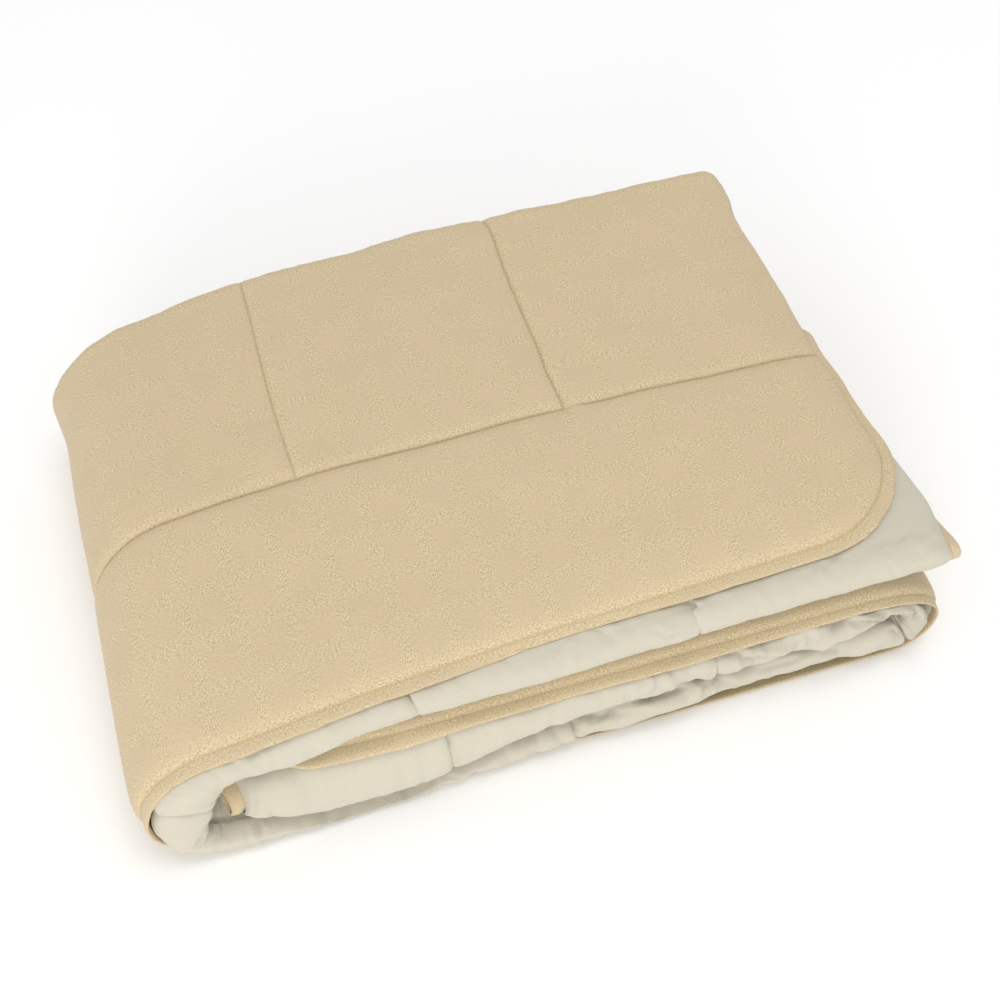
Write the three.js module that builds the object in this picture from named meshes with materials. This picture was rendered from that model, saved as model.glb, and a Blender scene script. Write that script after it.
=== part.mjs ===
import * as THREE from 'three'

// A box-quilted bed quilt, folded in thirds and then rolled in thirds.
// Millimetres, +Z up, the front folds look along -Y and the underside lies at z = 0.

// Cloth size laid flat, along the long side (u) and the short side (v).
const LONG_SIDE = 2000
const SHORT_SIDE = 1350
// Outline corner radius of the open quilt.
const CORNER_R = 100
// Width of the binding strip outside the edge seam, and its thickness.
const BINDING_W = 12
const BINDING_T = 2.6
const BINDING_GAP = 0.3

// Filled thickness in a box, and at a seam.
const LOFT = 12.6
const SEAM_T = 3
// Distance from one layer of the folded stack to the next.
const LAYER_PITCH = 15
const LAYERS_FOLDED = 3

// Box quilting: nine boxes along, a plain border and four boxes across.
const BOXES_LONG = 9
const BOXES_SHORT = 4
const BORDER = 190
const SEAM_REACH = 26
const RIM_REACH = 45

// Fold in thirds across the short side: path length where each turn starts and ends.
const FOLD_R = LAYER_PITCH / 2
const TURN = Math.PI * FOLD_R
const FIRST_LEAF = 424
const MIDDLE_LEAF = 440
const BACK_IN = FIRST_LEAF
const BACK_OUT = BACK_IN + TURN
const FRONT_IN = BACK_OUT + MIDDLE_LEAF
const FRONT_OUT = FRONT_IN + TURN

// Roll in thirds along the long side: bundle C in the middle, B below, A on top.
const X_LEFT = -213
const X_RIGHT = 316
const STACK = LAYERS_FOLDED * LAYER_PITCH
const RIGHT_R = STACK + 1.5
const ROLL_H = 2 * RIGHT_R + 1 + STACK
const LEFT_R = ROLL_H / 2
const MID_DEPTH = LAYER_PITCH / 2
const TOP_LEN = 556
const LEFT_TURN = Math.PI * (LEFT_R - MID_DEPTH)
const RIGHT_TURN = Math.PI * (RIGHT_R - MID_DEPTH)
const BASE_LEN = X_RIGHT - X_LEFT
const TOP_START = LONG_SIDE - TOP_LEN
const BASE_START = TOP_START - LEFT_TURN
const RIGHT_START = BASE_START - BASE_LEN
const INNER_END = RIGHT_START - RIGHT_TURN

// How far the underside is pressed flat on what it lies on.
const PRESSED = 2.2
// Place of the bundle's middle, measured from where its parts are laid out.
const Y_CENTRE = 227.7
const X_CENTRE = 41.9

const BOX_LONG = (LONG_SIDE - 2 * BINDING_W) / BOXES_LONG
const BOX_SHORT = (SHORT_SIDE - 2 * BORDER) / BOXES_SHORT
const SEAMS_U = Array.from({ length: BOXES_LONG - 1 }, (_, k) => BINDING_W + BOX_LONG * (k + 1))
const SEAMS_V = Array.from({ length: BOXES_SHORT + 1 }, (_, k) => BORDER + BOX_SHORT * k)

// Where the free front edge, the back turn and the front turn lie along the roll.
const STATIONS = [
  { u: 0, edge: 10, back: 446, front: 16 },
  { u: INNER_END * 0.35, edge: 4, back: 448, front: 12 },
  { u: INNER_END, edge: 2, back: 450, front: 10 },
  { u: RIGHT_START, edge: -4, back: 450, front: 12 },
  { u: RIGHT_START + BASE_LEN * 0.35, edge: -1, back: 450, front: 12 },
  { u: RIGHT_START + BASE_LEN * 0.6, edge: 12, back: 450, front: 10 },
  { u: RIGHT_START + BASE_LEN * 0.8, edge: 32, back: 450, front: 9 },
  { u: BASE_START, edge: 30, back: 450, front: 5 },
  { u: (BASE_START + TOP_START) / 2, edge: 4, back: 450, front: 8 },
  { u: TOP_START, edge: 6, back: 450, front: 18 },
  { u: (TOP_START + LONG_SIDE) / 2, edge: 24, back: 452, front: 22 },
  { u: LONG_SIDE, edge: 30, back: 452, front: 20 },
]

// Where the inner bundle's seams lie, from its free end to the right turn.
const INNER_PLACES = [
  { u: 0, x: -218 },
  { u: SEAMS_U[0], x: -52 },
  { u: SEAMS_U[1], x: 160 },
  { u: INNER_END, x: X_RIGHT },
]

// How far the back of the bundle is rounded off towards its left end.
const BACK_ROUNDING = [
  { x: -300, inset: 58 },
  { x: -270, inset: 46 },
  { x: -230, inset: 32 },
  { x: -180, inset: 20 },
  { x: -120, inset: 12 },
  { x: 0, inset: 5 },
  { x: 60, inset: 0 },
  { x: 400, inset: 0 },
]

function clamp(value, low, high) {
  return Math.min(Math.max(value, low), high)
}

// An S-shaped rise from 0 to 1.
function ease(value) {
  const t = clamp(value, 0, 1)
  return t * t * (3 - 2 * t)
}

// A smooth curve through one column of a table.
function curve(rows, key, name, at) {
  const last = rows.length - 1
  let k = 0
  while (k < last - 1 && at > rows[k + 1][key]) {
    k += 1
  }
  const slope = (i) => {
    if (i <= 0 || i >= last) return 0
    const before = (rows[i][name] - rows[i - 1][name]) / (rows[i][key] - rows[i - 1][key])
    const after = (rows[i + 1][name] - rows[i][name]) / (rows[i + 1][key] - rows[i][key])
    return before * after <= 0 ? 0 : (2 * before * after) / (before + after)
  }
  const span = rows[k + 1][key] - rows[k][key]
  const t = clamp((at - rows[k][key]) / span, 0, 1)
  const t2 = t * t
  const t3 = t2 * t
  const start = (2 * t3 - 3 * t2 + 1) * rows[k][name] + (t3 - 2 * t2 + t) * span * slope(k)
  return start + (3 * t2 - 2 * t3) * rows[k + 1][name] + (t3 - t2) * span * slope(k + 1)
}

// Straight lines between the rows of a table.
function ramp(rows, key, name, at) {
  let k = 0
  while (k < rows.length - 2 && at > rows[k + 1][key]) {
    k += 1
  }
  const t = clamp((at - rows[k][key]) / (rows[k + 1][key] - rows[k][key]), 0, 1)
  return rows[k][name] * (1 - t) + rows[k + 1][name] * t
}

// Distance inward from the rounded outline of the open quilt.
function edgeDistance(u, v) {
  const qx = Math.abs(u - LONG_SIDE / 2) - (LONG_SIDE / 2 - CORNER_R)
  const qy = Math.abs(v - SHORT_SIDE / 2) - (SHORT_SIDE / 2 - CORNER_R)
  const outside = Math.hypot(Math.max(qx, 0), Math.max(qy, 0))
  return CORNER_R - outside - Math.min(Math.max(qx, qy), 0)
}

// Filling rises from a seam as a quarter round.
function puff(distance, reach) {
  const t = clamp(distance / reach, 0, 1)
  return Math.sqrt(1 - (1 - t) * (1 - t))
}

// Half of the filled thickness at a place of the open quilt.
function halfThickness(u, v) {
  const rim = edgeDistance(u, v) - BINDING_W
  const inBoxes = v > BORDER && v < SHORT_SIDE - BORDER
  const across = Math.min(...SEAMS_V.map((s) => Math.abs(v - s)))
  const along = Math.min(...SEAMS_U.map((s) => Math.abs(u - s)))
  const toBoxes = Math.min(Math.abs(v - BORDER), Math.abs(v - SHORT_SIDE + BORDER))
  const seam = inBoxes ? along : Math.hypot(along, toBoxes)
  const fill = puff(seam, SEAM_REACH) * puff(across, SEAM_REACH) * puff(rim, RIM_REACH)
  return SEAM_T / 2 + (LOFT - SEAM_T) * fill / 2
}

// Place of a layer in the folded stack: y, and depth in from the outer layer.
function fold(u, v, offset) {
  const edge = curve(STATIONS, 'u', 'edge', u)
  const back = curve(STATIONS, 'u', 'back', u)
  const front = curve(STATIONS, 'u', 'front', u)
  const backAngle = clamp((v - BACK_IN) / FOLD_R, 0, Math.PI)
  const frontAngle = clamp((v - FRONT_IN) / FOLD_R, 0, Math.PI)
  let y = edge + v * (back - edge) / FIRST_LEAF
  let outY = 0
  let outDepth = -1
  if (v > BACK_IN) {
    y = back + FOLD_R * Math.sin(backAngle)
    outY = Math.sin(backAngle)
    outDepth = -Math.cos(backAngle)
  }
  if (v > BACK_OUT) {
    y = back - (v - BACK_OUT) * (back - front) / MIDDLE_LEAF
  }
  if (v > FRONT_IN) {
    y = front - FOLD_R * Math.sin(frontAngle)
    outY = Math.sin(frontAngle)
    outDepth = Math.cos(frontAngle)
  }
  if (v > FRONT_OUT) {
    y = front + (v - FRONT_OUT)
  }
  const turns = (1 - Math.cos(backAngle)) + (1 - Math.cos(frontAngle))
  const depth = MID_DEPTH + FOLD_R * turns
  return { y: y + offset * outY, depth: depth + offset * outDepth }
}

// Place of a point of the stack on the roll, seen from the front.
function roll(u, y, depth) {
  const rightAngle = (u - INNER_END) / RIGHT_TURN * Math.PI
  const leftAngle = (u - BASE_START) / LEFT_TURN * Math.PI
  if (u < INNER_END) {
    return { x: ramp(INNER_PLACES, 'u', 'x', u), z: 2 * RIGHT_R - depth }
  }
  if (u < RIGHT_START) {
    const r = RIGHT_R - depth
    return { x: X_RIGHT + r * Math.sin(rightAngle), z: RIGHT_R + r * Math.cos(rightAngle) }
  }
  if (u < BASE_START) {
    return { x: X_RIGHT - (u - RIGHT_START), z: depth }
  }
  if (u < TOP_START) {
    const r = LEFT_R - depth
    return { x: X_LEFT - r * Math.sin(leftAngle), z: LEFT_R - r * Math.cos(leftAngle) }
  }
  // The lower layers of the top bundle slide out at the front and in at the back.
  const out = 24 * (1 - Math.exp(-Math.max(depth - MID_DEPTH, 0) / 12)) * (1 - ease(y / 260))
  const back = 0.7 * (depth - MID_DEPTH) * ease((y - 110) / 90)
  return { x: X_LEFT + (u - TOP_START) + (out - back) * ease((u - TOP_START) / 250), z: ROLL_H - depth }
}

// A point of the open quilt, offset from its middle, as it lies folded and rolled.
function lay(u, v, offset, floor) {
  const layer = fold(u, v, offset)
  let { y, depth } = layer
  const rim = edgeDistance(u, v)
  // Thin edges hang towards the layer below.
  const rightAngle = clamp((u - INNER_END) / RIGHT_TURN, 0, 1) * Math.PI
  const leftAngle = clamp((u - BASE_START) / LEFT_TURN, 0, 1) * Math.PI
  const down = u < RIGHT_START ? Math.cos(rightAngle) : -Math.cos(leftAngle)
  depth += (1 - puff(rim - BINDING_W, RIM_REACH)) * (down > 0 ? 5 : 3.5) * down
  // The right-hand edge of the top layer is turned down behind the first cross seam.
  const topLayer = 1 - ease((v - BACK_IN + 10) / (TURN + 20))
  const turned = ease((y - 170) / 60) * ease((u - TOP_START) / 200) * topLayer
  const tip = Math.max(22 - (LONG_SIDE - u), 0) * turned
  depth += 7 * turned * (1 - puff(rim - BINDING_W, RIM_REACH)) + 0.7 * tip
  // The bottom bundle's front fold sags at the left.
  const past = ease((u - RIGHT_START - BASE_LEN * 0.35) / 150) * (1 - ease((u - BASE_START - 40) / 80))
  depth -= v > BACK_IN ? 12 * past * (1 - ease((y - 5) / 45)) : 0
  const place = roll(u, y, depth)
  const slide = 22 * turned * ease((u - TOP_START - 200) / 300)
  const x = place.x + slide - 0.5 * tip + 0.7 * offset * Math.min(tip / 12, 1)
  y -= ramp(BACK_ROUNDING, 'x', 'inset', x) * ease(y / 460)
  // The bundle is lower at the front, and lowest at the front left.
  const height = place.z / ROLL_H
  let z = place.z * (0.93 + 0.07 * ease((y + 20) / 250))
  z *= 1 - 0.04 * ease((-100 - x) / 150) * (1 - ease(y / 150))
  // The top bundle stands off the one below at the right front.
  z += u > TOP_START ? 9 * ease((x - 60) / 260) * (1 - ease((y + 10) / 300)) : 0
  // Crown of the whole bundle.
  const crownX = clamp(1 - ((x - 20) / 330) ** 2, 0, 1)
  const crownY = clamp(1 - ((y - 230) / 240) ** 2, 0, 1)
  z += 6 * height * crownX * crownY
  return [x - X_CENTRE, y - Y_CENTRE, Math.max(z - PRESSED, floor)]
}

// Grid stations along one side: through seams, turns and box middles.
function spread(from, to, steps) {
  return Array.from({ length: steps + 1 }, (_, k) => from + (to - from) * k / steps)
}

// Steps across a seam, closer where the top bundle shows it.
function seamSteps(seam, fine) {
  const steps = fine ? [-26, -10, 0, 10, 26] : [-24, 0, 24]
  return steps.map((step) => seam + step)
}

const EDGE_U = BINDING_W + BINDING_GAP
const INNER_CORNER = CORNER_R - EDGE_U
const CORNER_STEPS = [0, 0.27, 0.5, 0.75, 1].map((t) => 1 - Math.cos(t * Math.PI / 2))
const NEAR_CORNER = CORNER_STEPS.map((t) => EDGE_U + INNER_CORNER * t)
const FAR_CORNER = NEAR_CORNER.map((u) => LONG_SIDE - u).reverse()

const COLUMNS = [
  ...NEAR_CORNER, 160,
  ...seamSteps(SEAMS_U[0], false), 340,
  ...seamSteps(SEAMS_U[1], false), 540,
  ...spread(INNER_END, RIGHT_START, 6), 800,
  ...seamSteps(SEAMS_U[3], false), 1000,
  ...seamSteps(SEAMS_U[4], false), 1190,
  ...spread(BASE_START, TOP_START, 8), 1490,
  ...seamSteps(SEAMS_U[6], true), 1660,
  ...seamSteps(SEAMS_U[7], true), 1845,
  ...FAR_CORNER,
]

// Rows as shares of the border, then as fixed places between the seams and turns.
const BORDER_SHARES = [0, 0.06, 0.2, 0.4, 0.65, 0.87, 0.95]
const BOX_ROWS = [
  ...[BORDER, BORDER + 9, BORDER + 26, 300, 395],
  ...spread(BACK_IN, BACK_OUT, 5), 462, 560, 650,
  ...seamSteps(SEAMS_V[2], false).slice(1), 770, 830, 870,
  ...spread(FRONT_IN, FRONT_OUT, 5), SEAMS_V[3], 940, 980, 1050, 1135,
]
const FAR_BORDER = SHORT_SIDE - BORDER

// First row of a column, on the rounded outline.
function outline(u, inset) {
  const radius = CORNER_R - inset
  const near = Math.min(u, LONG_SIDE - u) - inset
  if (near >= radius) return inset
  return inset + radius - Math.sqrt(Math.max(radius * radius - (radius - near) ** 2, 0))
}

function columnRows(u) {
  const start = outline(u, EDGE_U)
  const near = BORDER_SHARES.map((share) => start + (BORDER - start) * share)
  const far = near.map((v) => SHORT_SIDE - v).reverse()
  return [...near, ...BOX_ROWS, FAR_BORDER, ...far]
}

// A closed body between two like grids of points, stitched round its rim.
function closedBody(upper, lower) {
  const rows = upper[0].length
  const count = upper.length * rows
  const positions = [...upper.flat(), ...lower.flat()].flat()
  const indices = []
  const quad = (a, b, c, d) => indices.push(a, b, c, a, c, d)
  for (let i = 0; i < upper.length - 1; i += 1) {
    for (let j = 0; j < rows - 1; j += 1) {
      const a = i * rows + j
      quad(a, a + rows, a + rows + 1, a + 1)
      quad(count + a, count + a + 1, count + a + rows + 1, count + a + rows)
    }
  }
  for (let i = 0; i < upper.length - 1; i += 1) {
    const near = i * rows
    const far = near + rows - 1
    quad(near, count + near, count + near + rows, near + rows)
    quad(far + rows, count + far + rows, count + far, far)
  }
  for (let j = 0; j < rows - 1; j += 1) {
    const last = (upper.length - 1) * rows + j
    quad(j + 1, count + j + 1, count + j, j)
    quad(last, count + last, count + last + 1, last + 1)
  }
  return solid(positions, indices)
}

// A closed loop body from one ring of points per station.
function loopBody(rings) {
  const sides = rings[0].length
  const indices = []
  rings.forEach((ring, k) => {
    const here = k * sides
    const next = ((k + 1) % rings.length) * sides
    ring.forEach((_, s) => {
      const t = (s + 1) % sides
      indices.push(here + s, next + s, next + t, here + s, next + t, here + t)
    })
  })
  return solid(rings.flat().flat(), indices)
}

function solid(positions, indices) {
  const geometry = new THREE.BufferGeometry()
  geometry.setAttribute('position', new THREE.Float32BufferAttribute(positions, 3))
  geometry.setIndex(indices)
  geometry.computeVertexNormals()
  return geometry
}

// The filled quilt inside its edge seam.
function quiltGeometry() {
  const point = (u, v, sign) => lay(u, v, sign * halfThickness(u, v), 0)
  const side = (sign) => COLUMNS.map((u) => columnRows(u).map((v) => point(u, v, sign)))
  return closedBody(side(1), side(-1))
}

// The binding's path round the open quilt, with the outward direction at each stop.
function bindingStops() {
  const stops = []
  COLUMNS.forEach((u) => stops.push([u, outline(u, EDGE_U)]))
  const far = columnRows(COLUMNS[COLUMNS.length - 1]).slice(1, -1)
  far.forEach((v) => stops.push([LONG_SIDE - EDGE_U, v]))
  ;[...COLUMNS].reverse().forEach((u) => stops.push([u, SHORT_SIDE - outline(u, EDGE_U)]))
  far.reverse().forEach((v) => stops.push([EDGE_U, v]))
  return stops.map(([u, v]) => {
    const cu = clamp(u, CORNER_R, LONG_SIDE - CORNER_R)
    const cv = clamp(v, CORNER_R, SHORT_SIDE - CORNER_R)
    const reach = Math.hypot(u - cu, v - cv)
    return { u, v, outU: (u - cu) / reach, outV: (v - cv) / reach }
  })
}

// A flat strip sewn on round the edge, four-sided in section.
function bindingGeometry() {
  const rings = bindingStops().map(({ u, v, outU, outV }) => {
    const at = (reach, offset) => lay(u + outU * reach, v + outV * reach, offset, 0.6)
    const half = BINDING_T / 2
    const inner = BINDING_GAP
    const outer = BINDING_W
    return [at(inner, -half), at(outer, -half * 0.8), at(outer, half * 0.8), at(inner, half)]
  })
  return loopBody(rings)
}

const FACE_CLOTH = new THREE.MeshStandardMaterial({ color: 0xd9c6a3, roughness: 0.95, metalness: 0 })
const BINDING_CLOTH = new THREE.MeshStandardMaterial({ color: 0xd1bc94, roughness: 0.95, metalness: 0 })

const quilt = new THREE.Mesh(quiltGeometry(), FACE_CLOTH)
quilt.name = 'quilt'
const binding = new THREE.Mesh(bindingGeometry(), BINDING_CLOTH)
binding.name = 'binding'

const group = new THREE.Group()
group.name = 'folded_quilt'
group.add(quilt, binding)

export default group
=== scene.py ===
import math

import bpy
import numpy as np
from mathutils import Matrix


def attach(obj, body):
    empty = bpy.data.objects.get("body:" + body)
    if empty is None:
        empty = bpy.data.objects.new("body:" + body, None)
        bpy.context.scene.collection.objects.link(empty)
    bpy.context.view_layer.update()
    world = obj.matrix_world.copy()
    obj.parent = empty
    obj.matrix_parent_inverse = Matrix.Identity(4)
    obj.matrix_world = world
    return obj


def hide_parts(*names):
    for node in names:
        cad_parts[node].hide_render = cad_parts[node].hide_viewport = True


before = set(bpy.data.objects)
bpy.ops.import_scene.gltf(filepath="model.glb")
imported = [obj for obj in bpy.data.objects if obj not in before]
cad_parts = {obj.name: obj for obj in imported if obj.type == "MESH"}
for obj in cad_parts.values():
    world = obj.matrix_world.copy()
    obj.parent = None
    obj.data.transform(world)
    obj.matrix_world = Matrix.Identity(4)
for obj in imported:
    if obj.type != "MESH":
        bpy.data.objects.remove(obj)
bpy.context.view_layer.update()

# The studio: a white paper floor under two soft lights in an even white room. The camera is held high in
# front of the bundle and a little to its left, with a normal lens, level but for a third of a degree.
scene = bpy.context.scene
scene.view_settings.view_transform = "Standard"
CAMERA_PLACE = (-0.2108, -0.6947, 0.9653)
CAMERA_TURN = math.radians(-18.265)
CAMERA_RISE = math.radians(52.035)
CAMERA_ROLL = math.radians(0.322)


def camera_axes(turn, rise, roll):
    """Right, up and back of a camera: back points from the bundle at the rise angle over the turn angle,
    right is level, up is square to both, and the roll turns right and up about back."""
    back = np.array([math.sin(turn) * math.cos(rise), -math.cos(turn) * math.cos(rise), math.sin(rise)])
    right = np.array([math.cos(turn), math.sin(turn), 0.0])
    up = np.cross(back, right)
    return np.array([
        math.cos(roll) * right + math.sin(roll) * up,
        math.cos(roll) * up - math.sin(roll) * right,
        back,
    ])


camera_data = bpy.data.cameras.new("camera")
camera_data.sensor_width = 36.0
camera_data.lens = 49.74
camera = bpy.data.objects.new("camera", camera_data)
scene.collection.objects.link(camera)
pose = np.eye(4)
pose[:3, :3] = camera_axes(CAMERA_TURN, CAMERA_RISE, CAMERA_ROLL).T
pose[:3, 3] = CAMERA_PLACE
camera.matrix_world = Matrix(pose)
scene.camera = camera


def linear(hex_colour):
    """A colour's linear light values from its sRGB hex: below 0.04045 a twelfth or so, and above it the
    2.4th power."""
    part = np.array([int(hex_colour[k:k + 2], 16) / 255 for k in (1, 3, 5)])
    value = np.where(part <= 0.04045, part / 12.92, ((part + 0.055) / 1.055) ** 2.4)
    return (*value.tolist(), 1.0)


def add(tree, kind, inputs=None, **settings):
    """Adds one node; settings go on the node, and each input takes a value or the socket that feeds it."""
    made = tree.nodes.new(kind)
    for name, value in settings.items():
        setattr(made, name, value)
    for name, value in (inputs or {}).items():
        if isinstance(value, bpy.types.NodeSocket):
            tree.links.new(value, made.inputs[name])
        else:
            made.inputs[name].default_value = value
    return made


room = bpy.data.worlds.new("white_room")
scene.world = room
room.use_nodes = True
room.node_tree.nodes["Background"].inputs["Color"].default_value = linear("#FFFFFF")
room.node_tree.nodes["Background"].inputs["Strength"].default_value = 0.78


def soft_light(name, place, aim, size, watts, colour):
    """A square lamp at a place, turned so that its face looks at the aim."""
    data = bpy.data.lights.new(name, "AREA")
    data.size = size
    data.energy = watts
    data.color = linear(colour)[:3]
    lamp = bpy.data.objects.new(name, data)
    back = np.array(place) - np.array(aim)
    back = back / np.linalg.norm(back)
    right = np.cross([0.0, 0.0, 1.0], back)
    right = right / np.linalg.norm(right)
    turn = np.eye(4)
    turn[:3, :3] = np.array([right, np.cross(back, right), back]).T
    turn[:3, 3] = place
    lamp.matrix_world = Matrix(turn)
    scene.collection.objects.link(lamp)
    return lamp


BUNDLE_MIDDLE = (0, 0, 0.05)
soft_light("key_light", (-1.3, -2.8, 0.8), BUNDLE_MIDDLE, size=1.4, watts=37.0, colour="#FFFCF7")
soft_light("top_light", (0.3, -0.4, 3.4), BUNDLE_MIDDLE, size=1.6, watts=27.0, colour="#FFFFFF")

FLOOR_HALF = 6.0
floor_corners = [(x * FLOOR_HALF, y * FLOOR_HALF, 0) for x, y in ((-1, -1), (1, -1), (1, 1), (-1, 1))]
floor_mesh = bpy.data.meshes.new("paper_floor")
floor_mesh.from_pydata(floor_corners, [], [(0, 1, 2, 3)])
floor = bpy.data.objects.new("paper_floor", floor_mesh)
scene.collection.objects.link(floor)
paper = bpy.data.materials.new("white_paper")
paper.use_nodes = True
paper.node_tree.nodes["Principled BSDF"].inputs["Base Color"].default_value = linear("#FEFEFE")
paper.node_tree.nodes["Principled BSDF"].inputs["Roughness"].default_value = 0.9
floor_mesh.materials.append(paper)

# The face cloth: one 135 x 200 cm piece of tan crinkled cotton, quilted to the wadding in boxes of
# 22 x 24 cm with a plain border along each long side, then folded and rolled with the wadding inside.
# Its sizes are in millimetres: u runs along the flat quilt and v across it.
LONG_SIDE, SHORT_SIDE, CORNER_R = 2000.0, 1350.0, 100.0
END_MARGIN = 12.0
EDGE_SEAM = 9.5
BORDER = 190.0
BOX_LONG = (LONG_SIDE - 2 * END_MARGIN) / 9
BOX_SHORT = (SHORT_SIDE - 2 * BORDER) / 4
SEAMS_U = END_MARGIN + BOX_LONG * np.arange(1, 9)
SEAMS_V = BORDER + BOX_SHORT * np.arange(5)
# The filled thickness in the middle of a box and at a seam. From a seam the cloth rises quickly over the
# short reach and crowns slowly over the long one; at the edge seam the quick rise is longer.
LOFT, SEAM_T = 13.2, 2.2
QUICK_REACH, QUICK_EDGE_REACH, SLOW_REACH = 9.0, 16.0, 60.0
QUICK_SHARE = 0.62
# How deep each cross seam lies, as a share: over some of them the cloth is stretched flat. Round the front
# turn it is stretched over all of them, and only the thread still draws a narrow groove.
SEAM_DEPTH = np.array([1, 1, 1, 1, 1, 1, 0.45, 0.8])
FRONT_STRETCH = 0.75
THREAD_DEPTH = np.array([1.6, 1.6, 1.6, 1.6, 1.6, 0.3, 1.8, 1.8])
THREAD_REACH = 1.6
# Beside the last cross seam the outer leaf's lengthwise seams are open for about a centimetre: how far
# beside, how far round that place, and how much of the groove is gone.
OPEN_BESIDE, OPEN_REACH, OPEN_SHARE = 7.0, 6.0, 0.85
# The fold in thirds: leaves a pitch apart, joined by half circles at the back and at the front.
PITCH = 15.0
FOLD_R = PITCH / 2
TURN = math.pi * FOLD_R
FIRST_LEAF, MIDDLE_LEAF = 424.0, 440.0
BACK_OUT = FIRST_LEAF + TURN
BACK_MIDDLE = FIRST_LEAF + TURN / 2
FRONT_IN = BACK_OUT + MIDDLE_LEAF
FRONT_OUT = FRONT_IN + TURN
FRONT_MIDDLE = (FRONT_IN + FRONT_OUT) / 2
# The roll in thirds: inner bundle, right turn, base, left turn and top bundle, each with its own start.
X_LEFT, X_RIGHT = -213.0, 316.0
MID_DEPTH = PITCH / 2
RIGHT_R = 3 * PITCH + 1.5
ROLL_H = 2 * RIGHT_R + 1 + 3 * PITCH
LEFT_R = ROLL_H / 2
TOP_LEN = 556.0
BASE_LEN = X_RIGHT - X_LEFT
LEFT_TURN = math.pi * (LEFT_R - MID_DEPTH)
RIGHT_TURN = math.pi * (RIGHT_R - MID_DEPTH)
TOP_START = LONG_SIDE - TOP_LEN
BASE_START = TOP_START - LEFT_TURN
RIGHT_START = BASE_START - BASE_LEN
INNER_END = RIGHT_START - RIGHT_TURN
# Along the roll: front edge of the outer leaf, back turn and front turn.
STATIONS = {
    "u": np.array([0, INNER_END * 0.35, INNER_END, RIGHT_START, RIGHT_START + BASE_LEN * 0.35,
                   RIGHT_START + BASE_LEN * 0.6, RIGHT_START + BASE_LEN * 0.8, BASE_START,
                   BASE_START + 45, (BASE_START + TOP_START) / 2, TOP_START, TOP_START + 130,
                   (TOP_START + LONG_SIDE) / 2, LONG_SIDE]),
    "edge": np.array([9, 2, 0, -3, -3, 8, 31, 22, 4, 2, 6, 17, 26, 30.0]),
    "back": np.array([446, 448, 450, 450, 450, 450, 450, 450, 450, 450, 450, 453, 456, 457.0]),
    "front": np.array([16, 12, 10, 10, 10, 9, 5, 5, 8, 8, 18, 21, 22, 20.0]),
}
# How far the inner layers slide on along the roll, since they take a shorter way round its turns.
SLIDE = {
    "u": np.array([INNER_END, RIGHT_START, SEAMS_U[3], SEAMS_U[4], BASE_START - 20, TOP_START,
                   SEAMS_U[6], SEAMS_U[7], LONG_SIDE]),
    "by": np.array([0, 50, 100, 77, 62, 44, 37, 34, 20.0]),
}
# Where the inner bundle lies from left to right: it is bunched up at its loose end.
INNER_PLACES = {
    "u": np.array([-30, 0, SEAMS_U[0], SEAMS_U[1], INNER_END]),
    "x": np.array([-246, -218, -52, 160, X_RIGHT]),
}
# How far the back is drawn in towards the left, which rounds the bundle's back left corner.
BACK_ROUNDING = {
    "x": np.array([-300, -270, -230, -180, -120, 0, 60, 400.0]),
    "inset": np.array([46, 39, 32, 22, 12, 5, 0, 0.0]),
}
# The weight: how far in from the edge seam a layer's thin edge hangs, how far down it hangs in the upper
# bundles and in the base, and how far the base's inner leaves sag at the front.
EDGE_REACH, EDGE_FALL, BASE_EDGE_FALL = 45.0, 5.0, 3.5
BASE_SAG = 12.0
# The loose end of the top bundle. At its back the outer leaf is turned down. From a line short of the end
# the outer leaf tips over and the inner leaves curl, by so much inward and down for each millimetre.
TURNED_DOWN = 7.0
TIP_REACH, TIP_IN, TIP_DOWN = 22.0, 0.5, 0.7
CURL_REACH, CURL_IN, CURL_DOWN = 20.0, 0.6, 0.6
# The bundle's uneven height: the drop at the front of the right turn, the shares by which the front and the
# front left corner are lower, the lift of the top's front towards the right, and the crown of the middle.
TURN_DROP, FRONT_LOWER, CORNER_LOWER, TOP_LIFT, CROWN = 9.0, 0.07, 0.04, 9.0, 6.0
# Places where the folded cloth settles or swells, each a soft push with its centre, reach and shift.
PUSHES = [
    {"centre": (-155, -235, 44), "reach": (145, 48, 42), "shift": (0, -5, -26)},
    {"centre": (268, -228, 44), "reach": (70, 45, 32), "shift": (0, 0, 9)},
    {"centre": (-295, 240, 118), "reach": (75, 60, 60), "shift": (0, -14, 0)},
    {"centre": (-330, 200, 70), "reach": (60, 70, 80), "shift": (-7, 0, 0)},
    {"centre": (-278, -228, 60), "reach": (50, 40, 45), "shift": (14, 0, -12)},
    {"centre": (60, 60, 140), "reach": (110, 190, 60), "shift": (-7, 0, 0)},
    {"centre": (-150, 60, 140), "reach": (90, 150, 60), "shift": (-4, 0, 0)},
    {"centre": (230, 0, 140), "reach": (170, 150, 60), "shift": (0, -4, 0)},
    {"centre": (-180, -40, 132), "reach": (170, 120, 60), "shift": (0, 6, 0)},
    {"centre": (-295, 215, 130), "reach": (130, 120, 80), "shift": (0, 0, -5)},
    {"centre": (330, 110, 140), "reach": (90, 200, 60), "shift": (0, 0, -6)},
    {"centre": (92, -2, 140), "reach": (45, 45, 50), "shift": (7, -1, 0)},
    {"centre": (322, 232, 105), "reach": (75, 75, 60), "shift": (1, 7, 3)},
]
# The middle of the bundle's footprint, and how far its weight presses the lowest layer into itself.
CENTRE = (41.9, 227.7)
PRESSED = 2.2


def ease(value):
    """An S-shaped rise from 0 to 1: three times the square less twice the cube."""
    t = np.clip(value, 0, 1)
    return t * t * (3 - 2 * t)


def past(value, start, over):
    """How far a value is past a start, as a share from 0 to 1 that is eased over the given length."""
    return ease((value - start) / over)


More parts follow.
